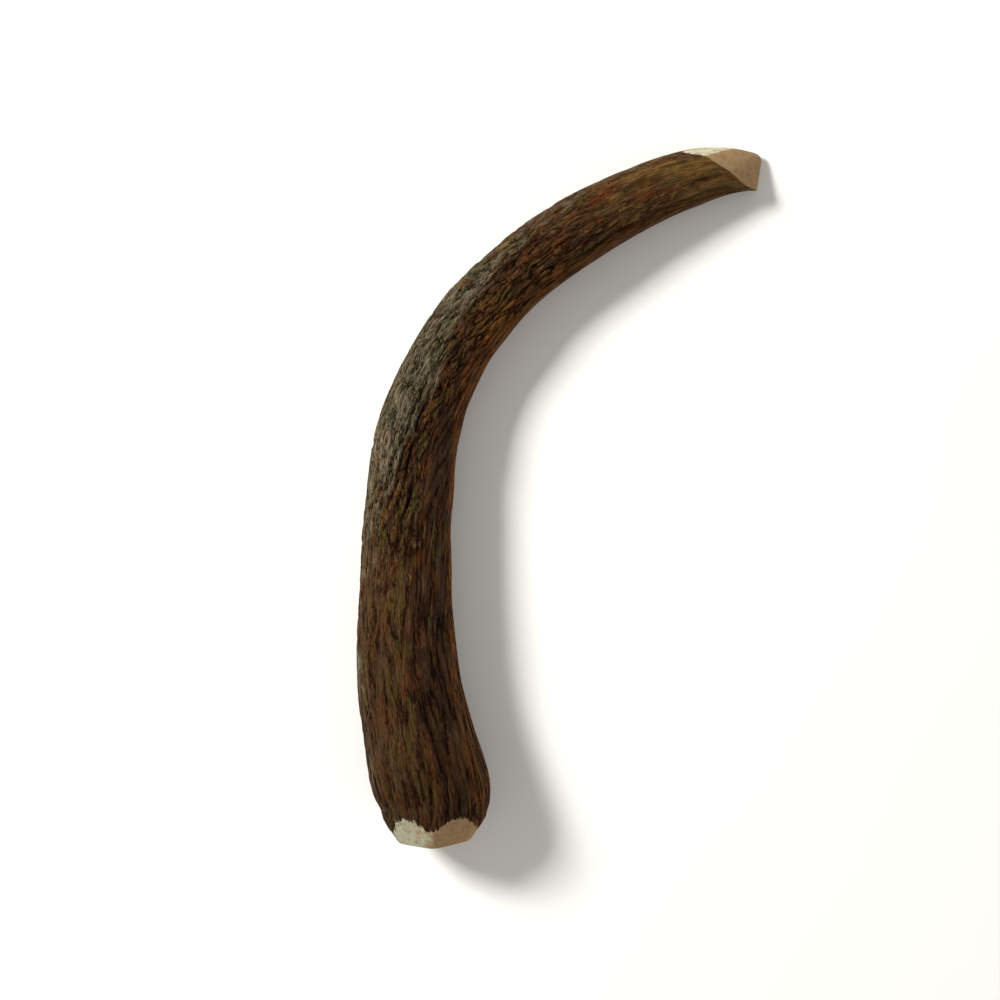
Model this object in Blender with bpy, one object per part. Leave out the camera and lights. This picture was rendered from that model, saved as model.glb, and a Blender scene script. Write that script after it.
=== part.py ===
"""A length of deer antler, sawn off at both ends and ground blunt, lying on its side.

The antler is one solid. Its axis is a curve that bends in the plane of the floor, and an oval
section is swept along it. The two saw cuts and the ground bevels round them are flat planes,
made by cutting boxes away. Units are metres, +Z is up, and the antler lies on Z = 0.
"""

import math
from collections import namedtuple

import bmesh
import bpy
from mathutils import Matrix, Vector

MM = 0.001

# The axis from below the base cut to past the tip cut, in millimetres:
# (X, Y, half the width seen from above, gap left under the antler).
AXIS_STATIONS = (
    (-33.8, -99.0, 8.3, 6.6),
    (-33.8, -84.7, 14.3, 1.5),
    (-34.0, -79.6, 15.9, 0.0),
    (-35.6, -73.8, 15.8, 0.0),
    (-38.0, -63.9, 15.1, 0.1),
    (-40.8, -46.7, 13.8, 0.5),
    (-41.5, -20.0, 12.4, 0.9),
    (-40.5, 0.0, 12.0, 0.5),
    (-38.2, 17.5, 11.5, 0.0),
    (-32.2, 33.9, 10.6, 0.2),
    (-22.6, 48.9, 10.2, 0.5),
    (-10.3, 61.4, 9.8, 0.9),
    (3.9, 71.7, 9.5, 1.1),
    (19.5, 80.3, 8.7, 0.9),
    (36.1, 87.1, 7.6, 0.3),
    (48.0, 90.1, 6.5, 0.1),
    (62.0, 91.4, 6.2, 0.5),
)
DEPTH_SHARE = 0.9  # the section's height over its width
EGG_SHARE = 0.03  # how much the section narrows towards its upper side
SECTION_SIDES = 32
STEPS_BETWEEN_STATIONS = 5

# Each end is a saw cut with bevels ground round it. The point is where the cut meets the axis,
# in millimetres, and outward is the way the axis leaves the antler there. A bevel is (degrees
# round the axis from zero_side, degrees between the bevel and the axis, millimetres from the
# axis to the bevel level with the point). 90 degrees round the axis is the top.
End = namedtuple("End", "name point outward cut_facing zero_side bevels")
BASE = End(
    name="base",
    point=(-33.8, -91.2, 14.2),
    outward=(0.02, -1.0, 0.0),
    cut_facing=(0.05, -1.0, -0.28),
    zero_side=(1.0, 0.0, 0.0),
    bevels=(
        (0, 35, 10.4),
        (60, 36, 8.8),
        (120, 36, 8.6),
        (180, 32, 10.3),
        (240, 38, 8.5),
        (300, 38, 8.7),
    ),
)
TIP = End(
    name="tip",
    point=(55.5, 90.7, 6.1),
    outward=(1.0, 0.1, 0.0),
    cut_facing=(0.98, -0.2, 0.0),
    zero_side=(0.0, 1.0, 0.0),
    bevels=(
        (24, 5, 4.5),
        (52, 27, -0.7),
        (82, 44, -2.9),
        (180, 45, 4.8),
        (285, 40, 4.9),
        (340, 7, 5.4),
    ),
)
CUTTER_SIDE = 80 * MM
WELD_DISTANCE = 0.01 * MM
SHARP_EDGE_DEGREES = 25

BARK_COLOUR = (0.075, 0.045, 0.024, 1.0)
BARK_ROUGHNESS = 0.65


def clear_scene():
    for leftover in list(bpy.data.objects):
        bpy.data.objects.remove(leftover)


def new_collection(name):
    collection = bpy.data.collections.new(name)
    bpy.context.scene.collection.children.link(collection)
    return collection


def oval_section(collection):
    """One closed outline for the section, one unit in half width, scaled at each station."""
    outline = bpy.data.curves.new("section", "CURVE")
    outline.dimensions = "2D"
    spline = outline.splines.new("POLY")
    spline.points.add(SECTION_SIDES - 1)
    for index, point in enumerate(spline.points):
        angle = math.tau * index / SECTION_SIDES
        width = math.cos(angle) * (1 - EGG_SHARE * math.sin(angle))
        point.co = (width, DEPTH_SHARE * math.sin(angle), 0, 1)
    spline.use_cyclic_u = True
    section = bpy.data.objects.new("section", outline)
    section.hide_render = True
    section.display_type = "WIRE"
    collection.objects.link(section)
    return section


def swept_axis(section, collection):
    """A smooth Bezier curve through the stations, with the section swept along it."""
    path = bpy.data.curves.new("axis", "CURVE")
    path.dimensions = "3D"
    path.twist_mode = "Z_UP"
    path.resolution_u = STEPS_BETWEEN_STATIONS
    path.bevel_mode = "OBJECT"
    path.bevel_object = section
    path.use_fill_caps = True
    spline = path.splines.new("BEZIER")
    spline.bezier_points.add(len(AXIS_STATIONS) - 1)
    for point, (x, y, half_width, gap) in zip(spline.bezier_points, AXIS_STATIONS):
        point.co = Vector((x, y, half_width * DEPTH_SHARE + gap)) * MM
        point.radius = half_width * MM
        point.handle_left_type = "AUTO"
        point.handle_right_type = "AUTO"
    curve = bpy.data.objects.new("axis", path)
    collection.objects.link(curve)
    return curve


def mesh_from_curve(curve, name, collection):
    """A welded mesh of the evaluated curve, which a Boolean can cut. The curve is removed."""
    bpy.context.view_layer.update()
    evaluated = curve.evaluated_get(bpy.context.evaluated_depsgraph_get())
    mesh = bpy.data.meshes.new_from_object(evaluated)
    mesh.name = name
    shape = bmesh.new()
    shape.from_mesh(mesh)
    bmesh.ops.remove_doubles(shape, verts=shape.verts, dist=WELD_DISTANCE)
    bmesh.ops.recalc_face_normals(shape, faces=shape.faces)
    shape.to_mesh(mesh)
    shape.free()
    solid = bpy.data.objects.new(name, mesh)
    solid.matrix_world = curve.matrix_world
    collection.objects.link(solid)
    bpy.data.objects.remove(curve)
    return solid


def cutting_box(name, point, facing, collection):
    """A box that takes away everything in front of the plane through point."""
    bpy.ops.mesh.primitive_cube_add(size=CUTTER_SIDE)
    box = bpy.context.active_object
    box.name = name
    turn = facing.to_track_quat("Z", "Y").to_matrix().to_4x4()
    box.matrix_world = Matrix.Translation(point + facing * CUTTER_SIDE / 2) @ turn
    box.hide_render = True
    box.display_type = "WIRE"
    for owner in list(box.users_collection):
        owner.objects.unlink(box)
    collection.objects.link(box)


def cut_end(end, collection):
    """The cutting boxes for one end: its saw cut, then the bevels ground round it."""
    centre = Vector(end.point) * MM
    outward = Vector(end.outward).normalized()
    zero = Vector(end.zero_side)
    across = (zero - zero.dot(outward) * outward).normalized()
    up = Vector((0, 0, 1))
    cutting_box(end.name + "_saw_cut", centre, Vector(end.cut_facing).normalized(), collection)
    for number, (around, slope, distance) in enumerate(end.bevels, start=1):
        around, slope = math.radians(around), math.radians(slope)
        side = across * math.cos(around) + up * math.sin(around)
        facing = side * math.cos(slope) + outward * math.sin(slope)
        name = f"{end.name}_bevel_{number}"
        cutting_box(name, centre + side * distance * MM, facing, collection)


def bark_material():
    material = bpy.data.materials.new("antler")
    material.use_nodes = True
    shader = material.node_tree.nodes["Principled BSDF"]
    shader.inputs["Base Color"].default_value = BARK_COLOUR
    shader.inputs["Roughness"].default_value = BARK_ROUGHNESS
    shader.inputs["Metallic"].default_value = 0.0
    return material


def apply_cuts_and_place(solid):
    """Applies the cuts, puts the middle of the box over the origin and the antler on Z = 0."""
    bpy.context.view_layer.update()
    evaluated = solid.evaluated_get(bpy.context.evaluated_depsgraph_get())
    corners = [evaluated.matrix_world @ vertex.co for vertex in evaluated.data.vertices]
    low = Vector(min(c[axis] for c in corners) for axis in range(3))
    high = Vector(max(c[axis] for c in corners) for axis in range(3))
    shift = Vector((-(low.x + high.x) / 2, -(low.y + high.y) / 2, -low.z))
    mesh = bpy.data.meshes.new_from_object(evaluated)
    mesh.name = solid.name
    solid.modifiers.clear()
    solid.data = mesh
    solid.location += shift


def build_antler():
    clear_scene()
    antler_parts = new_collection("deer_antler")
    guides = new_collection("guides")
    cutters = new_collection("cutters")
    curve = swept_axis(oval_section(guides), antler_parts)
    antler = mesh_from_curve(curve, "antler", antler_parts)
    for end in (BASE, TIP):
        cut_end(end, cutters)
    cuts = antler.modifiers.new("cuts", "BOOLEAN")
    cuts.operation = "DIFFERENCE"
    cuts.solver = "EXACT"
    cuts.operand_type = "COLLECTION"
    cuts.collection = cutters
    apply_cuts_and_place(antler)
    antler.data.shade_smooth()
    antler.data.set_sharp_from_angle(angle=math.radians(SHARP_EDGE_DEGREES))
    antler.data.materials.clear()
    antler.data.materials.append(bark_material())
    return antler


build_antler()
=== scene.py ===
# %% [markdown]
# # A sawn length of deer antler
#
# An antler grows as one piece of bone. Its outside is a brown bark of gutters and ridges, where
# the blood vessels of the velvet lay. Inside is a dense pale rind round a spongy core. This
# length was sawn off at both ends, and the rims were ground to blunt flats.
#
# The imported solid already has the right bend, thickness and flats, but its skin is smooth. Here
# the skin is measured from that solid, rebuilt as a fine net of points, and carved.

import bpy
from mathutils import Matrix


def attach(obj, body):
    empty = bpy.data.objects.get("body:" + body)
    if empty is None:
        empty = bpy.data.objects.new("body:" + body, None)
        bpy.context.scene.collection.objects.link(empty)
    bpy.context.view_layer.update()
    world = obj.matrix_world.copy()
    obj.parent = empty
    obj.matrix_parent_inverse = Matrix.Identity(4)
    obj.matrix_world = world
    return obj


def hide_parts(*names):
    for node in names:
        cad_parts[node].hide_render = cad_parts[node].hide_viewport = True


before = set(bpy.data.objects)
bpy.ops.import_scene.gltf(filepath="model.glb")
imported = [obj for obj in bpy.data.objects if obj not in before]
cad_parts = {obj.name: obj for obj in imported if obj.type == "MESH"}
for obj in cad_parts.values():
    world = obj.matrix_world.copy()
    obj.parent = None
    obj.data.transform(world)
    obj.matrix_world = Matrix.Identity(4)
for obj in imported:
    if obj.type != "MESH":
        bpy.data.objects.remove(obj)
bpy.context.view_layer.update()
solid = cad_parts["antler"]
MM = 0.001

# %% [markdown]
# ## Where the antler was sawn and ground
#
# A belt grinder leaves flat faces, and each meets the bark or the next face at a crease. The bark
# has only shallow angles between its facets. So the flats could be typed in again from the
# drawing, but finding them by their creases keeps this script true to whatever solid it is given.
#
# Dissolving edges between faces in one plane turns each flat into a single polygon. A polygon is
# kept as a flat if most of its rim is a crease.

# %% Find the flat faces
import math

import bmesh
import bpy
import numpy as np
from mathutils import Vector, noise
from mathutils.bvhtree import BVHTree

SAME_PLANE = math.radians(0.5)
CREASE = math.radians(15)
CREASED_SHARE = 0.6
SMALLEST_FLAT = 3 * MM * MM
WELD = 0.002 * MM


def find_flats(mesh):
    """The centre, outward normal and area of each sawn or ground face."""
    shape = bmesh.new()
    shape.from_mesh(mesh)
    bmesh.ops.remove_doubles(shape, verts=shape.verts, dist=WELD)
    bmesh.ops.dissolve_limit(
        shape, angle_limit=SAME_PLANE, verts=shape.verts, edges=shape.edges
    )
    flats = []
    for face in shape.faces:
        edges = [edge for edge in face.edges if len(edge.link_faces) == 2]
        rim = sum(edge.calc_length() for edge in edges)
        creased = sum(e.calc_length() for e in edges if e.calc_face_angle() > CREASE)
        if face.calc_area() > SMALLEST_FLAT and creased > CREASED_SHARE * rim:
            middle = face.calc_center_median_weighted()
            flats.append((middle, face.normal.copy(), face.calc_area()))
    shape.free()
    return sorted(flats, key=lambda flat: -flat[2])


flats = find_flats(solid.data)
for centre, normal, area in flats:
    print(f"flat of {area / MM**2:5.1f} mm2 at {centre / MM} facing {normal}")

# %% [markdown]
# ## The line down the middle
#
# Gutters run along the antler, so the carving needs to know which way is along and which way is
# round. A line down the middle of the bend gives both. It could be drawn as a curve by hand.
# Walking it is safer: step forward, look out in all directions to the bark, and move to the
# middle.
#
# Where the bark is ground away on one side there is too little to centre on, and the walk goes
# straight on. The first walk starts skew from a sawn face, so a second starts from its middle.

# %% Walk the middle line
STEP = 2 * MM
LOOKS = 48
TOUCHING = 0.02 * MM
NEAR_END = 40 * MM
ENOUGH_BARK = 0.75

tree = BVHTree.FromPolygons(
    [vertex.co for vertex in solid.data.vertices],
    [polygon.vertices for polygon in solid.data.polygons],
)


def side_and_up(forward):
    """Square to the middle line: towards the inside of the bend, and upwards."""
    side = forward.cross(Vector((0, 0, 1))).normalized()
    return side, side.cross(forward)


def look_round(centre, forward, angles):
    """The distance to the bark at each angle, or nan where a flat or nothing is met."""
    side, up = side_and_up(forward)
    distances = []
    for angle in angles:
        spot, _, _, distance = tree.ray_cast(centre, side * math.cos(angle) + up * math.sin(angle))
        on_flat = spot and any(abs((spot - c).dot(n)) < TOUCHING for c, n, _ in flats)
        distances.append(math.nan if spot is None or on_flat else distance)
    return np.array(distances)


def beyond_cut(point):
    """True past any flat of the end that the point is near."""
    return any(
        (point - centre).dot(normal) > 0
        for centre, normal, _ in flats
        if (point - centre).length < NEAR_END
    )


def walk(start, forward):
    """Points from start to the cut that the line leaves through."""
    angles = np.arange(LOOKS) * math.tau / LOOKS
    wave = np.stack([np.ones(LOOKS), np.cos(angles), np.sin(angles), np.cos(2 * angles)], axis=1)
    points = [start]
    while not beyond_cut(points[-1]):
        point = points[-1] + forward * STEP
        distances = look_round(point, forward, angles)
        seen = ~np.isnan(distances)
        if seen.mean() > ENOUGH_BARK:
            fit = np.linalg.lstsq(wave[seen], distances[seen], rcond=None)[0]
            side, up = side_and_up(forward)
            point = point + side * fit[1] + up * fit[2]
        forward = (forward + (point - points[-1]).normalized()).normalized()
        points.append(point)
    return points


sawn_centre, sawn_normal, _ = flats[0]
first_walk = walk(sawn_centre - sawn_normal * STEP, -sawn_normal)
half_way = len(first_walk) // 2
heading = (first_walk[half_way + 1] - first_walk[half_way - 1]).normalized()
to_tip = walk(first_walk[half_way], heading)
to_base = walk(first_walk[half_way], -heading)
print("steps to the base and to the tip:", len(to_base), len(to_tip))

# %% [markdown]
# Each end has one sawn face, which faces most nearly along the line. The rest are bevels. The
# line is led to the middle of each sawn face, so that it stays inside the bone where the bevels
# are deep.
#
# The walk's points jitter a little, so they are read off evenly and averaged along the line. Past
# both cuts the line runs on straight, because the cuts are tilted and the net overshoots its
# ends.

# %% Lead the line to the sawn faces and smooth it
LEAD_IN = 12 * MM
PAST_END = 10 * MM
SAMPLE = 1 * MM
SMOOTHING_PASSES = 30


def split_flats(end, outward):
    """The sawn face of an end and its bevels."""
    near = [flat for flat in flats if (flat[0] - end).length < NEAR_END]
    cut = max(near, key=lambda flat: flat[1].dot(outward))
    return cut, [flat for flat in near if flat is not cut]


def averaged(values):
    """Each value but the first and last, averaged with its two neighbours."""
    return (values[:-2] + 2 * values[1:-1] + values[2:]) / 4


def read_evenly(points):
    """The same line with its points a sample apart, and the distance along it to each."""
    along = np.concatenate([[0], np.cumsum(np.linalg.norm(np.diff(points, axis=0), axis=1))])
    even = np.linspace(0, along[-1], round(along[-1] / SAMPLE))
    return np.stack([np.interp(even, along, points[:, axis]) for axis in range(3)], 1), even


base_cut, base_bevels = split_flats(to_base[-1], (to_base[-1] - to_base[-3]).normalized())
tip_cut, tip_bevels = split_flats(to_tip[-1], (to_tip[-1] - to_tip[-3]).normalized())
inside = [
    point
    for point in to_base[:0:-1] + to_tip
    if min((point - base_cut[0]).length, (point - tip_cut[0]).length) > LEAD_IN
]
line, _ = read_evenly(np.array([list(p) for p in [base_cut[0], *inside, tip_cut[0]]]))
for _ in range(SMOOTHING_PASSES):
    line[1:-1] = averaged(line)
first_way = (line[0] - line[2]) / np.linalg.norm(line[0] - line[2])
last_way = (line[-1] - line[-3]) / np.linalg.norm(line[-1] - line[-3])
line, line_along = read_evenly(
    np.vstack([line[0] + first_way * PAST_END, line, line[-1] + last_way * PAST_END])
)
line_along -= PAST_END
line_forward = np.gradient(line, axis=0)
line_forward /= np.linalg.norm(line_forward, axis=1)[:, None]
LENGTH = line_along[-1] - PAST_END


def line_frame(along):
    """The middle line at distances along it: points, forward, side and up, one row each."""
    def read(values):
        return np.stack([np.interp(along, line_along, values[:, a]) for a in range(3)], 1)

    point, forward = read(line), read(line_forward)
    forward /= np.linalg.norm(forward, axis=1)[:, None]
    side = np.cross(forward, (0, 0, 1))
    side /= np.linalg.norm(side, axis=1)[:, None]
    return point, forward, side, np.cross(side, forward)


print("length along the bend in mm:", round(LENGTH / MM, 1))
print("bevels at the base and the tip:", len(base_bevels), len(tip_bevels))

# %% [markdown]
# ## How thick the bark stands all the way round
#
# The smooth skin is stored as a table of radii, along the line and round it. Where a flat has
# taken the bark away, the table is filled in from its neighbours, as if the bark were still
# there. That gives two things: the flats can be cut again through the carved bark, and any point
# on a flat knows how deep below the bark it lies, which later decides whether bark or bone shows
# there.
#
# The solid's own facets would show as steps in the finished skin, so the table is averaged a few
# times round the antler and once along it.

# %% Measure the smooth bark
ROWS_APART = 2 * MM
COLUMNS = 96
FILLING_PASSES = 600
ROUNDING_PASSES = 4

rows_along = np.arange(line_along[0], line_along[-1], ROWS_APART)
column_angles = np.arange(COLUMNS) * math.tau / COLUMNS
row_points, row_forwards, _, _ = line_frame(rows_along)
radii = np.array([
    look_round(Vector(point), Vector(forward), column_angles)
    for point, forward in zip(row_points, row_forwards)
])
missing = np.isnan(radii)
radii[missing] = np.nanmedian(radii)
for _ in range(FILLING_PASSES):
    padded = np.vstack([radii[:1], radii, radii[-1:]])
    beside = np.roll(radii, 1, axis=1) + np.roll(radii, -1, axis=1)
    radii[missing] = ((padded[:-2] + padded[2:] + beside) / 4)[missing]
for _ in range(ROUNDING_PASSES):
    radii = (np.roll(radii, 1, axis=1) + 2 * radii + np.roll(radii, -1, axis=1)) / 4
radii[1:-1] = averaged(radii)


def smooth_radius(along, angle):
    """The radius of the uncut, uncarved bark, read between the table's entries."""
    # Stopping just short of the last row leaves a row after every place.
    row = np.clip((along - rows_along[0]) / ROWS_APART, 0, len(radii) - 1.001)
    column = angle / math.tau * COLUMNS % COLUMNS
    r, c = row.astype(int), column.astype(int)
    down, right = row - r, column - c
    after = (c + 1) % COLUMNS
    low = radii[r, c] * (1 - right) + radii[r, after] * right
    high = radii[r + 1, c] * (1 - right) + radii[r + 1, after] * right
    return low * (1 - down) + high * down


print("radius in mm from", radii.min() / MM, "to", radii.max() / MM, "missing", missing.mean())

# %% [markdown]
# ## Cutting the flats again
#
# Seen from the middle line, a flat is just a limit on how far out the skin may be. The skin takes
# the nearer of the bark and the flats. Between two flats a hard limit would give a knife edge,
# and a ground edge is worn, so a soft minimum rounds it.

# %% Distance from the middle line to the ground flats
BASE_ROUNDING = 0.8 * MM
TIP_ROUNDING = 0.6 * MM
GRAZING = 0.05
FAR = 1.0


def flat_limits(points, rays, cut, bevels, rounding):
    """How far each ray may go before it meets a bevel, with worn edges between bevels.

    Also how squarely the nearest bevel cuts across the pores: 1 if it faces as the saw cut does.
    """
    normals = np.array([list(normal) for _, normal, _ in bevels])
    offsets = np.array([centre.dot(normal) for centre, normal, _ in bevels])
    facing = rays @ normals.T
    distance = (offsets - points @ normals.T) / np.maximum(facing, GRAZING)
    distance[facing < GRAZING] = FAR
    across = normals[distance.argmin(axis=1)] @ np.array(cut[1])
    return -rounding * np.logaddexp.reduce(-distance / rounding, axis=1), across


print("edges worn by, in mm at base and tip:", BASE_ROUNDING / MM, TIP_ROUNDING / MM)

# %% [markdown]
# ## The bark's relief
#
# Up close the bark is three things on top of each other: long gutters that split and join like a
# braided river, small wrinkles between them, and a few round pearls. Sculpting by hand or
# painting a height map could make them. Noise is used here because it needs no picture and can
# follow the bend: it is read in straightened space, where the antler is a straight rod and
# millimetres stay millimetres.
#
# Perlin noise crosses zero along winding closed lines. Taking the distance from zero turns those
# lines into narrow valleys with broad rounded ridges between them. Stretching the noise along the
# rod pulls the valleys out into gutters.

# %% Noise in straightened space
SEEDS_APART = 17.3
VALLEY_STEEPNESS = 0.7


def straighten(along, angle, radius):
    """Places on the straightened rod, in millimetres."""
    across = np.stack([radius * np.cos(angle), radius * np.sin(angle), along], axis=1)
    return across / MM


def noise_at(places, size, seed):
    """Noise from -1 to 1, with features about size millimetres across."""
    shifted = places / np.array(size) + seed * SEEDS_APART
    return np.array([noise.noise(Vector(place)) for place in shifted])


def wander(places, size, reach, seed):
    """Places pushed about by up to reach millimetres, so that straight lines come out winding."""
    push = np.stack([noise_at(places, size, seed + k) for k in range(3)], axis=1)
    return places + push * reach


def valleys(places, size, seed, width):
    """1 in the bottom of each valley and 0 on the ridges. A larger width gives broader valleys."""
    away = np.abs(noise_at(places, size, seed)) / width
    return 1 - np.clip(away, 0, 1) ** VALLEY_STEEPNESS


print("noise at one place:", noise_at(np.full((1, 3), 0.5), size=(1, 1, 1), seed=1))

# %% [markdown]
# The zones of this antler differ. Gutters are deepest by the thick base and die out towards the
# tip. Wrinkles are strongest on the outside of the bend, where the skin grew fast, and the inside
# of the bend is the smoothest. Each layer has a strength read from a short list of distances.

# %% How strong each layer is along and round the antler
WRINKLE_MIDDLE = 150
WRINKLE_REACH = ((0, 60), (70, 62), (90, 78), (125, 92), (165, 120), (235, 120))
WRINKLE_BLEND = 20
WRINKLED = (
    (0, 0.3), (45, 0.25), (70, 0.6), (85, 0.9), (105, 1.0), (165, 1.0), (185, 0.5), (200, 0.2),
    (235, 0),
)


def along_zone(along, stops):
    """A strength that follows (millimetres from the base, value) stops."""
    distances, values = zip(*stops)
    return np.interp(along / MM, distances, values)


def turn_from(direction, degrees):
    """How far degrees round the rod are from a direction, from -180 to 180."""
    return (degrees - direction + 180) % 360 - 180


def outerness(angle):
    """1 on the outside of the bend, 0 on the inside."""
    return 0.5 - 0.5 * np.cos(angle)


def wrinkled(along, angle):
    """1 where the skin crumpled as it grew, 0 where it ran straight."""
    turn = np.abs(turn_from(WRINKLE_MIDDLE, np.degrees(angle)))
    inside = np.clip((along_zone(along, WRINKLE_REACH) - turn) / WRINKLE_BLEND + 0.5, 0, 1)
    return inside * along_zone(along, WRINKLED)


three_places = np.array([0.0, LENGTH / 2, LENGTH])
print("crumpled at the base, middle and tip:", along_zone(three_places, WRINKLED))

# %% [markdown]
# ### Marks that are this antler's own
#
# A few marks are not repeated anywhere, so noise cannot give them: four pearls in the middle,
# three pale ridges on the outside of the bend, and grooves that slant across the middle and along
# the inside near the tip. They could be sculpted. Listing each by its distance from the base and
# its degrees round the rod makes one easy to move.

# %% Pearls, ridges and grooves
# A mark is (millimetres from the base, degrees round, half its length, half its width).
PEARLS = ((93, 99, 3.4, 2.3), (81, 90, 3.6, 2.4), (79, 75, 2.6, 2.4), (70, 84, 4.0, 2.0))
RIDGES = ((149, 148, 7.0, 1.5), (163, 145, 7.0, 1.2), (126, 138, 5.0, 1.2))
# A groove is a list of (millimetres from the base, degrees round).
GROOVES = (
    ((84, 123), (100, 104), (122, 84)),
    ((82, 113), (96, 96), (116, 76)),
    ((88, 132), (104, 113), (128, 94)),
    ((70, 112), (86, 92), (100, 80)),
    ((172, 47), (233, 42)),
    ((180, 38), (233, 33)),
    ((190, 29), (233, 24)),
)
GROOVE_HALF_WIDTH = 0.5
GROOVE_FADES_OVER = 7
GROOVE_WOBBLE = 7


def raised_marks(along, angle, radius, marks):
    """1 on top of each mark, fading to 0 at its edge."""
    total = np.zeros(len(along))
    for distance, direction, half_length, half_width in marks:
        turn = turn_from(direction, np.degrees(angle))
        beside = np.radians(turn) * radius / MM / half_width
        away = np.hypot((along / MM - distance) / half_length, beside)
        total += (1 - np.clip(away, 0, 1) ** 2) ** 2
    return total


def grooves(along, angle, radius):
    """1 in the bottom of each groove."""
    total = np.zeros(len(along))
    places = straighten(along, angle, radius)
    wobble = GROOVE_WOBBLE * noise_at(places, size=(5, 5, 6), seed=41)
    for stops in GROOVES:
        first, last = stops[0][0], stops[-1][0]
        turn = turn_from(along_zone(along, stops), np.degrees(angle) + wobble)
        beside = np.radians(turn) * radius / MM / GROOVE_HALF_WIDTH
        ends = np.minimum(along / MM - first, last - along / MM) / GROOVE_FADES_OVER
        total += np.exp(-beside ** 2) * np.clip(ends, 0, 1)
    return total


print("pearls, ridges and grooves:", len(PEARLS), len(RIDGES), len(GROOVES))

# %% [markdown]
# ### All the relief together
#
# The gutters run nearly straight up from the base. In the bend they lie across the outside, so
# the rod is given a slow twist there before its noise is read. Where the skin is crumpled, folds
# take over from the gutters.
#
# The layers could be stacked modifiers, each with its own noise. Adding them up in one function
# keeps them in step, and tells the colours later which places are hollow.

# %% The depth of the carving
GUTTER_DEPTH = ((0, 0.6), (45, 0.65), (80, 0.55), (115, 0.4), (165, 0.3), (200, 0.16), (230, 0.1))
GUTTERS_ON_INSIDE = 0.4
GUTTERS_LOST_IN_FOLDS = 0.6
WRINKLE_DEPTH = 0.75
SHALLOWEST = 0.2
TWIST_DEGREES = ((0, 0), (60, 0), (85, 12), (120, 62), (150, 84), (235, 90))
SWELL_DEPTH = ((0, 0.6), (60, 0.6), (90, 0.8), (165, 0.7), (200, 0.35), (235, 0.2))
PEARL_HEIGHT = 1.0
RIDGE_HEIGHT = 0.5
GROOVE_DEPTH = ((60, 0.65), (150, 0.65), (175, 0.3), (235, 0.25))
PROUD = 0.6
OFF_THE_FLOOR = 0.3


def relief(along, angle, radius):
    """How deep the carving goes below the smooth skin in millimetres, and how hollow it is."""
    twist = np.radians(along_zone(along, TWIST_DEGREES))
    places = straighten(along, angle + twist, radius)
    crumpled = wrinkled(along, angle)
    gutter_places = wander(places, size=(5, 5, 16), reach=1.0, seed=1)
    gutters = valleys(gutter_places, size=(1.5, 1.5, 24), seed=5, width=0.36)
    fold_places = wander(places, size=(2.2, 2.2, 5), reach=1.1, seed=9)
    folds = valleys(fold_places, size=(1.25, 1.25, 6.0), seed=13, width=0.34)
    outward = GUTTERS_ON_INSIDE + (1 - GUTTERS_ON_INSIDE) * outerness(angle)
    gutter_depth = along_zone(along, GUTTER_DEPTH) * outward
    unfolded = 1 - GUTTERS_LOST_IN_FOLDS * crumpled
    carved = gutters * gutter_depth * unfolded + folds * WRINKLE_DEPTH * crumpled
    deepest = gutter_depth * unfolded + WRINKLE_DEPTH * crumpled
    slant = grooves(along, angle, radius)
    swell = 0.5 + 0.5 * noise_at(places, size=(8, 8, 13), seed=21)
    # The skin stands proud on top, to make up for the carving, and is held off the floor.
    raised = np.clip(PROUD * (0.5 + np.sin(angle)), -OFF_THE_FLOOR, PROUD)
    raised += PEARL_HEIGHT * raised_marks(along, angle, radius, PEARLS)
    raised += RIDGE_HEIGHT * raised_marks(along, angle, radius, RIDGES)
    hollow = np.maximum(carved / np.maximum(deepest, SHALLOWEST), slant)
    depth = carved + slant * along_zone(along, GROOVE_DEPTH)
    depth += swell * along_zone(along, SWELL_DEPTH)
    return depth - raised, hollow


# %% [markdown]
# ## The net of points
#
# The skin is a net: rings round the antler, and lines along it. Each line starts on one sawn face
# and ends on the other, so no ring is left hanging over a tilted cut. Where a line meets the cut
# is found by halving a range until it is small.
#
# A boolean of a finely carved mesh would also give the flats, but with torn faces along them. In
# the net every face stays a neat quad.

# %% Find where each line meets the two saw cuts
LINES = 220
HALVINGS = 18
END_SEARCH = 9 * MM
line_angles = np.arange(LINES) * math.tau / LINES


def skin(along, angle):
    """Points of the skin, and how hollow, ground down, far out and cut across each one is."""
    point, _, side, up = line_frame(along)
    ray = side * np.cos(angle)[:, None] + up * np.sin(angle)[:, None]
    smooth = smooth_radius(along, angle)
    depth, hollow = relief(along, angle, smooth)
    bark = smooth - depth * MM
    at_base = flat_limits(point, ray, base_cut, base_bevels, BASE_ROUNDING)
    at_tip = flat_limits(point, ray, tip_cut, tip_bevels, TIP_ROUNDING)
    flat, across = np.where(along < LENGTH / 2, at_base, at_tip)
    radius = np.minimum(bark, flat)
    return point + ray * radius[:, None], hollow, bark - flat, radius, across


def meet_cut(cut, inside, outside):
    """The distance along the middle line at which each line of the net meets a saw cut."""
    centre, normal = np.array(cut[0]), np.array(cut[1])
    inside, outside = np.full(LINES, inside), np.full(LINES, outside)
    for _ in range(HALVINGS):
        between = (inside + outside) / 2
        beyond = (skin(between, line_angles)[0] - centre) @ normal > 0
        outside = np.where(beyond, between, outside)
        inside = np.where(beyond, inside, between)
    return (inside + outside) / 2


starts = meet_cut(base_cut, END_SEARCH, -END_SEARCH)
stops = meet_cut(tip_cut, LENGTH - END_SEARCH, LENGTH + END_SEARCH)
print("lines start at", starts.min() / MM, "to", starts.max() / MM, "mm")
print("lines stop at", stops.min() / MM, "to", stops.max() / MM, "mm")

# %% [markdown]
# Rings are closer together over the ground ends, where the bark's ragged edge needs them.

# %% Lay the rings and carve them
END_RINGS = 34
BODY_RINGS = 330
BASE_END = 11 * MM
TIP_END = 14 * MM

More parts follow.
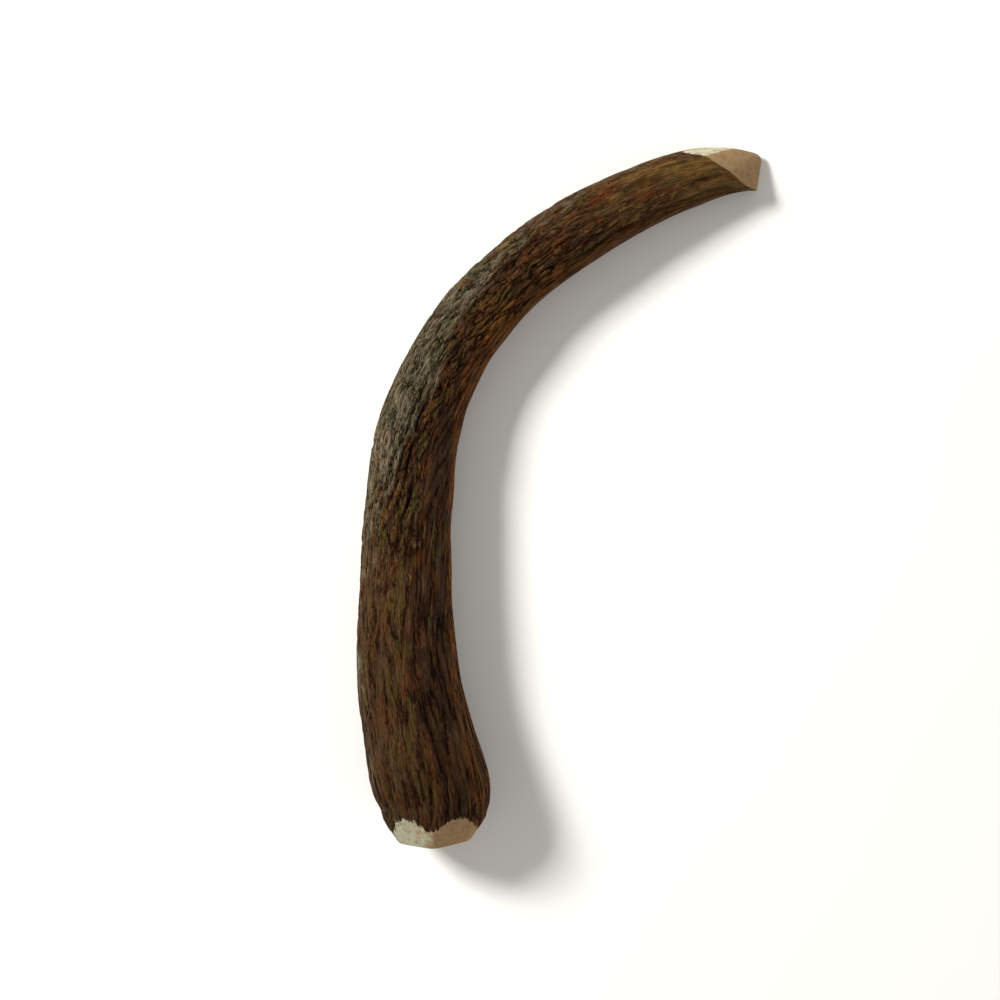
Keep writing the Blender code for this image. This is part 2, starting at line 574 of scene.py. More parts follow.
length_shares = np.concatenate([
    np.linspace(0, BASE_END / LENGTH, END_RINGS, endpoint=False),
    np.linspace(BASE_END / LENGTH, 1 - TIP_END / LENGTH, BODY_RINGS, endpoint=False),
    np.linspace(1 - TIP_END / LENGTH, 1, END_RINGS),
])
RINGS = len(length_shares)
net_along = (starts + (stops - starts) * length_shares[:, None]).ravel()
net_angle = np.tile(line_angles, RINGS)
net_points, net_hollow, net_ground, net_radius, net_across = skin(net_along, net_angle)
print("net of", RINGS, "rings by", LINES, "lines")

# %% [markdown]
# ## What the finish will ask of each point
#
# The material will ask for each point's place on the straightened rod, how hollow the carving is,
# how far below the old bark it was ground, and how weathered and cool-lit, amber, ochre, crumpled,
# or stained and shaded it is. These could be painted by hand on the mesh. Here each is worked out,
# and stored as a named attribute that the shader can read.
#
# Weather greys the outside of the bend most, and that lit side also gets painted cool light. The
# inside keeps a warm amber, partly its own and partly painted warm light bounced onto that shaded
# side. Bone that is cut across its pores shows their old blood as tan. Bone skimmed along them
# stays cream. On bevels turned away from the key lamp the tan is partly painted shade and warm
# light. At the base the inside half, away from the key lamp, is tan: stain, and painted shade and
# warm light.

# %% Work out the facts of the skin
GREY_REACH = (
    (0, 30), (60, 40), (86, 56), (100, 76), (122, 96), (135, 80), (165, 62), (200, 40), (235, 30),
)
GREY_STRENGTH = ((0, 0.1), (50, 0.25), (75, 0.4), (104, 0.8), (145, 0.75), (180, 0.4), (235, 0.1))
AMBER_REACH = ((0, 48), (60, 27), (105, 24), (140, 62), (180, 45), (235, 30))
AMBER_STRENGTH = ((0, 0.6), (60, 0.8), (100, 0.9), (140, 0.9), (175, 0.5), (205, 0.2), (235, 0.1))
LICHEN = ((46, 163, 13, 5.5), (73, 166, 11, 4.5), (22, 158, 9, 3.0))
TIP_PATCHES = ((219, 108, 18, 3.2), (203, 132, 12, 2.4), (224, 48, 26, 4.0))
BLEND_DEGREES = 16
OUTSIDE, INSIDE = 180, 0
LICHEN_STRENGTH = 0.75
OCHRE_STRENGTH = 0.7
TIP_STAIN_AND_SHADE = 0.5
STAIN_AND_SHADE_BY_CUT = 2


def spread(along, angle, direction, reach, strength):
    """A strength that fades out at a reach, in degrees, to both sides of a direction."""
    turn = turn_from(direction, np.degrees(angle))
    inside = (along_zone(along, reach) - np.abs(turn)) / BLEND_DEGREES + 0.5
    return np.clip(inside, 0, 1) * along_zone(along, strength)


net_place = (net_along, net_angle, net_radius)
grey = spread(net_along, net_angle, OUTSIDE, GREY_REACH, GREY_STRENGTH)
lichen = LICHEN_STRENGTH * raised_marks(*net_place, LICHEN)
# Tan on the tip's bevels: stain by how squarely each cuts the pores, and painted shade and warm
# light on those turned away from the key lamp.
tip_stain_and_shade = TIP_STAIN_AND_SHADE + STAIN_AND_SHADE_BY_CUT * net_across
skin_facts = {
    "point": net_points,
    "rod": straighten(*net_place),
    "hollow": net_hollow,
    "under_bark": net_ground / MM,
    "core": np.zeros(len(net_points)),
    "grey": np.maximum(grey, lichen),
    "amber": spread(net_along, net_angle, INSIDE, AMBER_REACH, AMBER_STRENGTH),
    "ochre": OCHRE_STRENGTH * raised_marks(*net_place, PEARLS + RIDGES + TIP_PATCHES),
    "crumpled": wrinkled(net_along, net_angle),
    # At the base the inside half, away from the key lamp, is tan: stain, and painted shade and
    # warm light.
    "stain_and_shade": np.where(net_along < LENGTH / 2, 1 - outerness(net_angle), tip_stain_and_shade),
}
print({name: round(float(fact.mean()), 4) for name, fact in skin_facts.items()})

# %% [markdown]
# ## The two sawn faces
#
# Each cut is closed with rings that shrink to its middle, all in the plane of the saw. The core
# of an antler is spongy bone, open like bread, so pits are pressed into the middle of the face.
# The dense rind round it stays flat apart from faint saw marks. A single flat polygon would close
# a cut too, but it could hold no pits.
#
# A saw cuts every pore alike, so a little way in from the rim the stain is the same all round.

# %% Close the ends
CORE_STARTS = 0.45
CORE_SHARPNESS = 6
PIT_DEPTH = 0.6
PIT_SIZE = (0.8, 0.8, 0.8)
EVEN_STAIN = 0.42
EVEN_FROM = 0.25
SAW_MARK_DEPTH = 0.03
SAW_MARK_WAVE = np.array([1.6, 0.5, 4.1])


def close_end(rim, cut, shares):
    """The facts of rings whose points lie at these shares of the way from a rim to its middle."""
    inward = np.repeat(shares, LINES)
    facts = {name: np.concatenate([fact] * len(shares)) for name, fact in rim.items()}
    size = np.linalg.norm(rim["rod"][:, :2], axis=1).mean()
    facts["point"] += (rim["point"].mean(axis=0) - facts["point"]) * inward[:, None]
    facts["rod"][:, :2] *= 1 - inward[:, None]
    facts["under_bark"] = np.maximum(facts["under_bark"], 0) + inward * size
    facts["core"] = inward
    facts["stain_and_shade"] += (EVEN_STAIN - facts["stain_and_shade"]) * np.clip(inward / EVEN_FROM, 0, 1)
    places = facts["point"] / MM
    pits = np.clip(2 * valleys(places, PIT_SIZE, seed=31, width=0.7) - 0.7, 0, 1)
    facts["hollow"] = pits * np.clip((inward - CORE_STARTS) * CORE_SHARPNESS, 0, 1)
    marks = 0.5 + 0.5 * np.sin(places @ SAW_MARK_WAVE)
    depth = facts["hollow"] * PIT_DEPTH + marks * SAW_MARK_DEPTH
    facts["point"] -= np.array(cut[1]) * depth[:, None] * MM
    return facts


BASE_FACE_RINGS = 24
TIP_FACE_RINGS = 14
base_rim = {name: fact[:LINES] for name, fact in skin_facts.items()}
tip_rim = {name: fact[-LINES:] for name, fact in skin_facts.items()}
base_shares = np.linspace(1, 0, BASE_FACE_RINGS, endpoint=False)
tip_shares = np.linspace(0, 1, TIP_FACE_RINGS + 1)[1:]
ends_and_skin = [
    close_end(base_rim, base_cut, base_shares), skin_facts, close_end(tip_rim, tip_cut, tip_shares)
]
facts = {name: np.concatenate([part[name] for part in ends_and_skin]) for name in skin_facts}
ROWS = len(facts["point"]) // LINES
print("one grid of", ROWS, "rows")

# %% [markdown]
# ## One mesh
#
# All the rings, from the middle of one sawn face to the middle of the other, make one long grid,
# so one rule gives every face. The innermost rings have shrunk to a point and are welded. The
# skin and the two faces could be made apart and joined, but their edges would have to be matched.
#
# The flat map that colours can be baked on is part of the same grid: the skin is unrolled as two
# strips side by side, and the sawn faces are discs in the room above them.

# %% Join the grid into one mesh and lay out its flat map
STRIP_TOP = 0.80
MAP_GAP = 0.008
BASE_DISC = (0.12, 0.905, 0.085)
TIP_DISC = (0.30, 0.905, 0.05)
WELD_POINTS = 0.001 * MM


def strip_corners(rows, first, count, left):
    """Places on the flat map for one strip of the unrolled skin, for rows and line numbers."""
    lines = np.arange(LINES + 1) / LINES
    down = MAP_GAP + (rows - first) / count * (STRIP_TOP - 2 * MAP_GAP)
    across = left + MAP_GAP + lines * (0.5 - 2 * MAP_GAP)
    return np.stack(np.broadcast_arrays(across[None, :], down[:, None]), axis=-1)


def disc_corners(shares, disc):
    """Places on the flat map for rings of a sawn face."""
    turn = np.arange(LINES + 1) / LINES * math.tau
    away = (1 - shares)[:, None] * disc[2]
    return np.stack([disc[0] + away * np.cos(turn), disc[1] + away * np.sin(turn)], axis=-1)


def quads(corners):
    """Four corners for each face between neighbouring rows and neighbouring columns."""
    return np.stack(
        [corners[:-1, :-1], corners[1:, :-1], corners[1:, 1:], corners[:-1, 1:]], axis=2
    )


numbers = np.arange(ROWS * LINES).reshape(ROWS, LINES)
faces = quads(np.concatenate([numbers, numbers[:, :1]], axis=1)).reshape(-1, 4)
half_rings = RINGS // 2
ring_numbers = np.arange(RINGS)
flat_map = np.concatenate([
    quads(disc_corners(np.append(base_shares, 0), BASE_DISC)),
    quads(strip_corners(ring_numbers[:half_rings + 1], 0, half_rings, 0)),
    quads(strip_corners(ring_numbers[half_rings:], half_rings, RINGS - 1 - half_rings, 0.5)),
    quads(disc_corners(np.insert(tip_shares, 0, 0), TIP_DISC)),
]).reshape(-1, 2)

mesh = bpy.data.meshes.new("antler_skin")
mesh.from_pydata(facts["point"].tolist(), [], faces.tolist())
mesh.uv_layers.new(name="OFBake").data.foreach_set("uv", flat_map.ravel())
for name in list(facts)[1:]:
    kind, field = ("FLOAT_VECTOR", "vector") if name == "rod" else ("FLOAT", "value")
    mesh.attributes.new(name, kind, "POINT").data.foreach_set(field, facts[name].ravel())

shape = bmesh.new()
shape.from_mesh(mesh)
bmesh.ops.remove_doubles(shape, verts=shape.verts, dist=WELD_POINTS)
print("closed:", all(edge.is_manifold for edge in shape.edges))
print("volume in cm3:", round(shape.calc_volume(signed=True) / (10 * MM) ** 3, 2))
shape.to_mesh(mesh)
shape.free()
mesh.shade_smooth()
antler_skin = bpy.data.objects.new("antler_skin", mesh)
bpy.context.scene.collection.objects.link(antler_skin)
print("triangles:", sum(len(polygon.vertices) - 2 for polygon in mesh.polygons))

# %% [markdown]
# ## Tools for building finishes
#
# A finish is a small network of nodes. The nodes could be placed and joined by hand in the Shader
# Editor. Made in code, each line is one node with its inputs, and it reads from top to bottom.

# %% Short ways to add nodes
def add(tree, kind, inputs=None, **settings):
    """A shader node. Each input is given a number, a colour, or another node's output."""
    node = tree.nodes.new("ShaderNode" + kind)
    for name, value in settings.items():
        setattr(node, name, value)
    for socket, value in (inputs or {}).items():
        if isinstance(value, bpy.types.NodeSocket):
            tree.links.new(value, node.inputs[socket])
        else:
            node.inputs[socket].default_value = value
    return node


def blend(tree, share, start, end, how="MIX"):
    """The colour start, turning to the colour end as share goes from 0 to 1."""
    inputs = {"Factor": share, 6: start, 7: end}
    node = add(tree, "Mix", inputs, data_type="RGBA", blend_type=how, clamp_factor=True)
    return node.outputs[2]


def fade(tree, value, low, high, to_low=0.0, to_high=1.0):
    """A smooth step: to_low below low, to_high above high."""
    inputs = {"Value": value, "From Min": low, "From Max": high}
    inputs.update({"To Min": to_low, "To Max": to_high})
    return add(tree, "MapRange", inputs, interpolation_type="SMOOTHSTEP").outputs["Result"]


def sum_of(tree, operation, first, second):
    """Two values put together by ADD, MULTIPLY, SUBTRACT or another sum."""
    return add(tree, "Math", {0: first, 1: second}, operation=operation).outputs["Value"]


def start_group(name, inputs, outputs):
    """An empty node group, and its input and output nodes."""
    group = bpy.data.node_groups.new(name, "ShaderNodeTree")
    for socket, kind, value in inputs:
        made = group.interface.new_socket(socket, in_out="INPUT", socket_type="NodeSocket" + kind)
        if value is not None:
            made.default_value = value
    for socket, kind in outputs:
        group.interface.new_socket(socket, in_out="OUTPUT", socket_type="NodeSocket" + kind)
    return group, group.nodes.new("NodeGroupInput"), group.nodes.new("NodeGroupOutput")


def place_group(tree, group, inputs):
    """A group placed in a material or in another group, with its own values."""
    return add(tree, "Group", inputs, node_tree=group).outputs


print("node helpers are ready")

# %% [markdown]
# ## Grain
#
# Bark, bone and floor all vary in patches of some size, longer one way than the other. One group
# gives that: noise whose size is in millimetres, drawn out along the rod. Each place it is used
# gives its own size, stretch and number, so that no two layers line up. A noise node in each
# material would do the same, but its scale would have to be worked out again each time.

# %% The grain group, used by every material
GRAIN_ROUGHNESS = 0.55

grain, source, result = start_group(
    "grain",
    [
        ("Place", "Vector", None),
        ("Size", "Float", 5.0),
        ("Stretch", "Float", 3.0),
        ("Number", "Float", 0.0),
        ("Detail", "Float", 3.0),
        ("Winding", "Float", 0.0),
    ],
    [("Value", "Float")],
)
across_size = sum_of(grain, "DIVIDE", 1.0, source.outputs["Size"])
along_size = sum_of(grain, "DIVIDE", across_size, source.outputs["Stretch"])
scale = add(grain, "CombineXYZ", {"X": across_size, "Y": across_size, "Z": along_size})
scaled = add(
    grain, "VectorMath", {0: source.outputs["Place"], 1: scale.outputs[0]}, operation="MULTIPLY"
)
texture = add(
    grain,
    "TexNoise",
    {
        "Vector": scaled.outputs[0],
        "W": source.outputs["Number"],
        "Scale": 1.0,
        "Detail": source.outputs["Detail"],
        "Roughness": GRAIN_ROUGHNESS,
        "Distortion": source.outputs["Winding"],
    },
    noise_dimensions="4D",
)
grain.links.new(texture.outputs["Fac"], result.inputs["Value"])


def grain_value(tree, place, size, stretch, number, detail=3.0, winding=0.0):
    """The grain group placed once."""
    inputs = {"Place": place, "Size": size, "Stretch": stretch, "Number": number}
    inputs.update({"Detail": detail, "Winding": winding})
    return place_group(tree, grain, inputs)["Value"]


def furrows(tree, place, size, stretch, number, width, winding=0.0):
    """1 in narrow furrows and 0 between them: the lines along which grain is half way."""
    value = grain_value(tree, place, size, stretch, number, detail=1.5, winding=winding)
    away = sum_of(tree, "ABSOLUTE", sum_of(tree, "SUBTRACT", value, 0.5), 0.0)
    return fade(tree, away, 0.0, width, 1.0, 0.0)


print("grain group has", len(grain.nodes), "nodes")

# %% [markdown]
# ## The bark
#
# Bark colour comes in layers. Under everything is a dark brown stain from blood and tree sap,
# with painted light on the outside of the bend, which faces the key lamp, and painted shade on
# the inside. Patches of olive and rust lie on it. Weather greys the outside of the bend, with
# painted cool light on that lit side, and the inside is amber, partly its own colour and partly
# painted warm light bounced onto that shaded side. Last, painted shade darkens the hollows, and
# painted highlights make the ridges pale. All of it is darkened by the base with painted shade,
# where the light falls off.
#
# A single picked colour would look like plastic. Layers also mean that one layer can be changed
# without touching the rest.

# %% The bark group
DARK_BROWN = (0.026, 0.0085, 0.0018, 1)
MID_BROWN = (0.070, 0.034, 0.0120, 1)
OLIVE = (0.062, 0.038, 0.007, 1)
RUST = (0.090, 0.026, 0.005, 1)
OCHRE = (0.135, 0.072, 0.018, 1)
WEATHERED_AND_PAINTED_COOL_LIGHT = (0.122, 0.098, 0.060, 1)
MOSS_GREY = (0.070, 0.064, 0.034, 1)
AMBER_AND_PAINTED_WARM_LIGHT = (0.195, 0.064, 0.006, 1)
HOLLOW_PAINTED_SHADE = (0.11, 0.07, 0.05, 1)
SHADED = (0.34, 0.26, 0.20, 1)
RIDGE_PAINTED_HIGHLIGHT = (0.200, 0.150, 0.090, 1)
FOLD_HEIGHT = 0.50
LINE_HEIGHT = 0.30
BARK_GRAIN_HEIGHT = 0.26
PATCH_UNEVENNESS = 2.2

bark, source, result = start_group(
    "bark",
    [
        ("Place", "Vector", None),
        ("Hollow", "Float", 0.0),
        ("Grey", "Float", 0.0),
        ("Amber", "Float", 0.0),
        ("Ochre", "Float", 0.0),
        ("Crumpled", "Float", 0.0),
    ],
    [("Colour", "Color"), ("Roughness", "Float"), ("Height", "Float")],
)
place, hollow = source.outputs["Place"], source.outputs["Hollow"]
crumpled = source.outputs["Crumpled"]
where = add(bark, "SeparateXYZ", {0: place}).outputs
towards_tip = fade(bark, where["Z"], 150, 205)
# Painted light and shade: paler on the outside of the bend, facing the key lamp, darker inside.
side_light_and_shade = fade(bark, where["X"], -9, 7, to_low=0.06, to_high=-0.09)
at_tip = fade(bark, where["Z"], 170, 205, to_low=0.0, to_high=0.07)
paler = sum_of(bark, "ADD", side_light_and_shade, at_tip)


def patches(fact, size, stretch, number, low, high):
    """Where a fact holds, broken up by grain so that its edge is ragged."""
    uneven = grain_value(bark, place, size, stretch, number, detail=4)
    centred = sum_of(bark, "SUBTRACT", uneven, 0.5)
    spread_out = sum_of(bark, "MULTIPLY", centred, PATCH_UNEVENNESS)
    return fade(bark, sum_of(bark, "ADD", fact, spread_out), low, high)


# The dark stain with painted light and shade by side, the patches on it, and painted shade by the
# base.
stain_grain = grain_value(bark, place, size=1.5, stretch=6.0, number=1, detail=4)
broad = sum_of(bark, "ADD", stain_grain, paler)
colour = blend(bark, fade(bark, broad, 0.42, 0.60), DARK_BROWN, MID_BROWN)
olive_grain = grain_value(bark, place, size=2.4, stretch=5.0, number=2)
olive_patch = fade(bark, olive_grain, 0.51, 0.61, to_low=0.0, to_high=0.9)
colour = blend(bark, olive_patch, colour, OLIVE)
rust_share = fade(bark, where["Z"], 150, 200, to_low=0.5, to_high=0.85)
rust_grain = grain_value(bark, place, size=2.6, stretch=3.0, number=3, detail=4)
rust_patch = fade(bark, rust_grain, 0.50, 0.60)
colour = blend(bark, sum_of(bark, "MULTIPLY", rust_patch, rust_share), colour, RUST)
# Painted shade: the bark is darkened towards the base, where the light falls off.
shade_low = fade(bark, where["Z"], 15, 90, to_low=0.38, to_high=0.0)
colour = blend(bark, shade_low, colour, SHADED, "MULTIPLY")

# Weather grey on the outside of the bend, partly painted cool light on that lit side, and amber
# on the inside, partly painted warm light on that shaded side.
moss_patch = fade(bark, grain_value(bark, place, size=4.0, stretch=3.0, number=8), 0.46, 0.56)
weathered_and_cool_lit = blend(bark, moss_patch, WEATHERED_AND_PAINTED_COOL_LIGHT, MOSS_GREY)
grey_patch = patches(source.outputs["Grey"], size=1.6, stretch=3.5, number=4, low=0.3, high=0.8)
grey_share = sum_of(bark, "MULTIPLY", grey_patch, 0.85)
colour = blend(bark, grey_share, colour, weathered_and_cool_lit)
ochre_at_tip = sum_of(bark, "MULTIPLY", towards_tip, 0.38)
ochre_fact = sum_of(bark, "ADD", source.outputs["Ochre"], ochre_at_tip)
ochre_patch = patches(ochre_fact, size=1.2, stretch=3.0, number=7, low=0.35, high=0.75)
colour = blend(bark, sum_of(bark, "MULTIPLY", ochre_patch, 0.8), colour, OCHRE)
# The amber is partly its own colour, partly painted warm light bounced onto the shaded inside.
amber_grain = grain_value(bark, place, size=0.8, stretch=14.0, number=5, detail=4)
amber_streak = fade(bark, amber_grain, 0.42, 0.56)
colour = blend(
    bark, sum_of(bark, "MULTIPLY", amber_streak, source.outputs["Amber"]), colour, AMBER_AND_PAINTED_WARM_LIGHT
)

# Fine furrows between the carved ones: long lines, or folds where the skin is crumpled.
fine = grain_value(bark, place, size=0.38, stretch=3.2, number=6, detail=5)
fine_lines = furrows(bark, place, size=0.70, stretch=11.0, number=9, width=0.09, winding=0.5)
fine_folds = furrows(bark, place, size=0.85, stretch=4.0, number=10, width=0.09, winding=0.9)
creases = add(bark, "Mix", {0: crumpled, 2: fine_lines, 3: fine_folds}).outputs[0]
crease_height = add(bark, "Mix", {0: crumpled, 2: -LINE_HEIGHT, 3: -FOLD_HEIGHT}).outputs[0]
fine_height = sum_of(bark, "MULTIPLY", fine, BARK_GRAIN_HEIGHT)
height = sum_of(bark, "ADD", fine_height, sum_of(bark, "MULTIPLY", creases, crease_height))

# Painted shade darkens the hollows, and painted highlights make the ridges between them paler.
carved_low = sum_of(bark, "MULTIPLY", hollow, 0.75)
fine_low = fade(bark, fine, 0.3, 0.7, to_low=0.22, to_high=-0.22)
creases_low = sum_of(bark, "MULTIPLY", creases, 0.35)
lowness = sum_of(bark, "ADD", sum_of(bark, "ADD", carved_low, fine_low), creases_low)
less_at_tip = fade(bark, towards_tip, 0, 1, to_low=1.0, to_high=0.55)
hollow_shade = sum_of(bark, "MULTIPLY", fade(bark, lowness, 0.30, 0.92), less_at_tip)
colour = blend(bark, hollow_shade, colour, HOLLOW_PAINTED_SHADE, "MULTIPLY")
# Painted highlight on the ridges, strongest on the lit outside of the bend.
worn = sum_of(bark, "MULTIPLY", fade(bark, lowness, 0.40, 0.10), fade(bark, fine, 0.42, 0.62))
highlight_share = fade(bark, grey_share, 0.0, 0.85, to_low=0.07, to_high=0.45)
colour = blend(bark, sum_of(bark, "MULTIPLY", worn, highlight_share), colour, RIDGE_PAINTED_HIGHLIGHT)
bark.links.new(colour, result.inputs["Colour"])
dullness = fade(bark, lowness, 0.2, 0.8, to_low=0.5, to_high=0.9)
bark.links.new(dullness, result.inputs["Roughness"])
bark.links.new(height, result.inputs["Height"])
print("bark group has", len(bark.nodes), "nodes")

# %% [markdown]
# ## Ground bone
#
# Where the bark is gone the antler is pale. Dense bone is cream, darkened at the base with
# painted shade, where the light falls off. Where its pores are cut open, old blood shows as tan;
# on the bevels turned away from the key lamp the tan is partly painted shade and warm light. The
# spongy core is browner, with dark pits. The belt leaves fine scratches.
#
# Each flat could have a colour of its own. One group that reads the stored stain and painted
# shade serves them all, and the tan can fade across a flat.

# %% The ground bone group
CREAM = (0.53, 0.49, 0.34, 1)
CREAM_IN_PAINTED_SHADE = (0.36, 0.35, 0.245, 1)
TAN = (0.31, 0.195, 0.095, 1)
STAINED = (0.20, 0.125, 0.065, 1)
SPONGE = (0.26, 0.16, 0.08, 1)
PIT = (0.035, 0.018, 0.009, 1)
SCRATCH_HEIGHT = 0.02
BASE_LOOK_ENDS, TIP_LOOK_STARTS = 100, 130

ground_bone, source, result = start_group(
    "ground_bone",
    [
        ("Place", "Vector", None),
        ("Stain_and_shade", "Float", 0.0),
        ("Core", "Float", 0.0),
        ("Hollow", "Float", 0.0),
    ],
    [("Colour", "Color"), ("Roughness", "Float"), ("Height", "Float")],
)
place = source.outputs["Place"]
where = add(ground_bone, "SeparateXYZ", {0: place}).outputs
# Painted shade: the cream is darker towards the base, where the light falls off.
tip_half = fade(ground_bone, where["Z"], BASE_LOOK_ENDS, TIP_LOOK_STARTS)
cream = blend(ground_bone, tip_half, CREAM_IN_PAINTED_SHADE, CREAM)
cloud_grain = grain_value(ground_bone, place, size=1.8, stretch=1.5, number=11)
cloud = fade(ground_bone, cloud_grain, 0.3, 0.7, to_low=-0.16, to_high=0.16)
uneven = sum_of(ground_bone, "ADD", source.outputs["Stain_and_shade"], cloud)
# Tan on cut pores, partly painted shade and warm light on bevels turned away from the key lamp.
colour = blend(ground_bone, fade(ground_bone, uneven, 0.30, 0.52), cream, TAN)
smudge_grain = grain_value(ground_bone, place, size=1.6, stretch=1.0, number=12, detail=5)
smudge = fade(ground_bone, smudge_grain, 0.46, 0.64, to_low=0.0, to_high=0.6)
colour = blend(ground_bone, smudge, colour, STAINED)
in_core = fade(ground_bone, source.outputs["Core"], 0.35, 0.55)
colour = blend(ground_bone, in_core, colour, SPONGE)
in_pit = fade(ground_bone, source.outputs["Hollow"], 0.2, 0.7)
colour = blend(ground_bone, in_pit, colour, PIT)
pore_grain = grain_value(ground_bone, place, size=0.5, stretch=1.0, number=14, detail=1)
pore = fade(ground_bone, pore_grain, 0.70, 0.76, to_low=0.0, to_high=0.8)
colour = blend(ground_bone, pore, colour, PIT)
scratch = grain_value(ground_bone, place, size=0.25, stretch=14.0, number=13, detail=2)
dullness = fade(ground_bone, scratch, 0.3, 0.7, to_low=0.45, to_high=0.62)
scratch_height = sum_of(ground_bone, "MULTIPLY", scratch, SCRATCH_HEIGHT)
ground_bone.links.new(colour, result.inputs["Colour"])
ground_bone.links.new(dullness, result.inputs["Roughness"])
ground_bone.links.new(scratch_height, result.inputs["Height"])
print("ground bone group has", len(ground_bone.nodes), "nodes")

# %% [markdown]
# ## The antler's material
#
# Bark and bone are one shader, mixed by a mask: 1 where the belt or saw has gone below the carved
# bark. Two materials on different faces would give a boundary of stairs, because it could only
# follow the net. A mask can cross a face. A little fine grain is added to it first, because bark
# breaks away in fibres and leaves a ragged edge. At the base the bark is thicker and its edge is
# more ragged.

# %% The antler material
SHEEN = 0.06
BARK_AT_BASE = 0.22
BARK_AT_TIP = BARK_AT_BASE / 3
RAGGED_AT_BASE = 0.34
RAGGED_AT_TIP = 0.10
EDGE_SOFTNESS = 0.06

antler_finish = bpy.data.materials.new("antler_bark_and_bone")
antler_finish.use_nodes = True
tree = antler_finish.node_tree
shader = tree.nodes["Principled BSDF"]


def stored(name, output="Fac"):
    """A fact that was stored on the mesh."""
    return add(tree, "Attribute", attribute_name=name).outputs[output]


place = stored("rod", "Vector")
hollow, under_bark, core = stored("hollow"), stored("under_bark"), stored("core")
fibres = grain_value(tree, place, size=0.45, stretch=5.0, number=21)
along_mm = add(tree, "SeparateXYZ", {0: place}).outputs["Z"]
halves = (BASE_LOOK_ENDS, TIP_LOOK_STARTS)
raggedness = fade(tree, along_mm, *halves, to_low=RAGGED_AT_BASE, to_high=RAGGED_AT_TIP)
torn = fade(tree, fibres, 0.25, 0.75, to_low=-1.0, to_high=1.0)
frayed = sum_of(tree, "MULTIPLY", torn, raggedness)
thickness = fade(tree, along_mm, *halves, to_low=BARK_AT_BASE, to_high=BARK_AT_TIP)
below = sum_of(tree, "SUBTRACT", sum_of(tree, "ADD", under_bark, frayed), thickness)
bare = fade(tree, below, 0.0, EDGE_SOFTNESS)
bark_inputs = {"Place": place, "Hollow": hollow}
for name in ("Grey", "Amber", "Ochre", "Crumpled"):
    bark_inputs[name] = stored(name.lower())
bark_out = place_group(tree, bark, bark_inputs)
bone_inputs = {"Place": place, "Stain_and_shade": stored("stain_and_shade"), "Core": core}
bone_inputs["Hollow"] = sum_of(tree, "MULTIPLY", hollow, fade(tree, core, 0.2, 0.4))
bone_out = place_group(tree, ground_bone, bone_inputs)
tree.links.new(
    blend(tree, bare, bark_out["Colour"], bone_out["Colour"]), shader.inputs["Base Color"]
)
rough = add(tree, "Mix", {0: bare, 2: bark_out["Roughness"], 3: bone_out["Roughness"]})
tree.links.new(rough.outputs[0], shader.inputs["Roughness"])
height = add(tree, "Mix", {0: bare, 2: bark_out["Height"], 3: bone_out["Height"]})
bump = add(tree, "Bump", {"Height": height.outputs[0], "Distance": MM, "Strength": 1.0})
tree.links.new(bump.outputs["Normal"], shader.inputs["Normal"])
shader.inputs["Metallic"].default_value = 0.0
shader.inputs["Specular IOR Level"].default_value = SHEEN
mesh.materials.append(antler_finish)
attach(antler_skin, "root")
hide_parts("antler")
print("antler material has", len(tree.nodes), "nodes")

# %% [markdown]
# ## Floor, light and camera
#
# The antler lies on a pale floor and the camera looks straight down on it. A large lamp to the
# upper left is the main light. It is large, so its shadows are soft, and low enough to rake
# across the bark, because relief that is lit from straight above vanishes. A weak lamp on the
# other side and the pale surroundings fill the shadows. A bright sky alone would light it too,
# but would flatten the bark.

# %% The floor
FLOOR_SIDE = 6.0
FLOOR_COLOUR = (0.86, 0.85, 0.83, 1)
FLOOR_MARK = (0.84, 0.83, 0.81, 1)

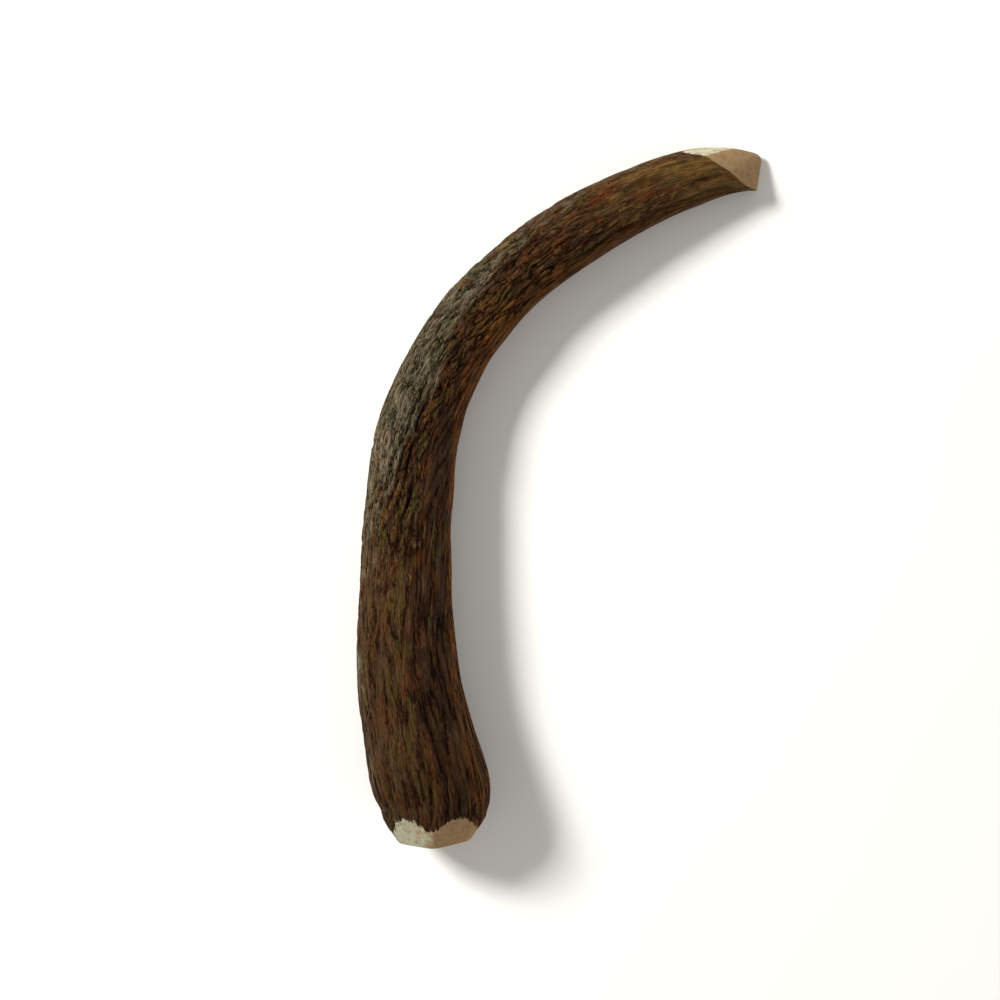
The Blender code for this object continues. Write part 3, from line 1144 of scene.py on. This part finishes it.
bpy.ops.mesh.primitive_plane_add(size=FLOOR_SIDE)
floor = bpy.context.active_object
floor.name = "floor"
paper = bpy.data.materials.new("floor_paper")
paper.use_nodes = True
floor_tree = paper.node_tree
floor_shader = floor_tree.nodes["Principled BSDF"]
floor_place = add(floor_tree, "TexCoord").outputs["Object"]
mottle = grain_value(floor_tree, floor_place, size=0.05, stretch=1.0, number=31)
floor_tree.links.new(
    blend(floor_tree, mottle, FLOOR_COLOUR, FLOOR_MARK), floor_shader.inputs["Base Color"]
)
floor_shader.inputs["Roughness"].default_value = 0.9
floor.data.materials.append(paper)
print("floor of", FLOOR_SIDE, "m to a side")

# %% The light and the camera
WORLD_COLOUR = (1.0, 0.99, 0.97, 1)
WORLD_STRENGTH = 0.38
KEY_FROM = Vector((-0.82, 0.47, 0.74))
KEY_SIDE = 0.30
KEY_WATTS = 21.5
KEY_COLOUR = (1.0, 0.985, 0.96)
FILL_FROM = Vector((0.9, -0.5, 0.6))
FILL_SIDE = 0.9
FILL_WATTS = 3.5
FILL_COLOUR = (1.0, 0.93, 0.85)
CAMERA_AT = Vector((-0.0166, -0.0020, 0.60))
LENS_MM = 78.3


def soft_lamp(name, place, side, watts, colour):
    """A square area lamp aimed at the antler."""
    lamp = bpy.data.lights.new(name, "AREA")
    lamp.size = side
    lamp.energy = watts
    lamp.color = colour
    holder = bpy.data.objects.new(name, lamp)
    holder.location = place
    holder.rotation_euler = (-place).to_track_quat("-Z", "Y").to_euler()
    bpy.context.scene.collection.objects.link(holder)


soft_lamp("key_lamp", KEY_FROM, KEY_SIDE, KEY_WATTS, KEY_COLOUR)
soft_lamp("fill_lamp", FILL_FROM, FILL_SIDE, FILL_WATTS, FILL_COLOUR)

world = bpy.data.worlds.new("pale_room")
world.use_nodes = True
background = world.node_tree.nodes["Background"]
background.inputs["Color"].default_value = WORLD_COLOUR
background.inputs["Strength"].default_value = WORLD_STRENGTH
bpy.context.scene.world = world

lens = bpy.data.cameras.new("camera")
lens.lens = LENS_MM
lens.clip_start = 0.01
camera = bpy.data.objects.new("camera", lens)
camera.location = CAMERA_AT
bpy.context.scene.collection.objects.link(camera)
bpy.context.scene.camera = camera
bpy.context.scene.view_settings.view_transform = "Standard"
print("camera at", CAMERA_AT, "with a lens of", LENS_MM, "mm")
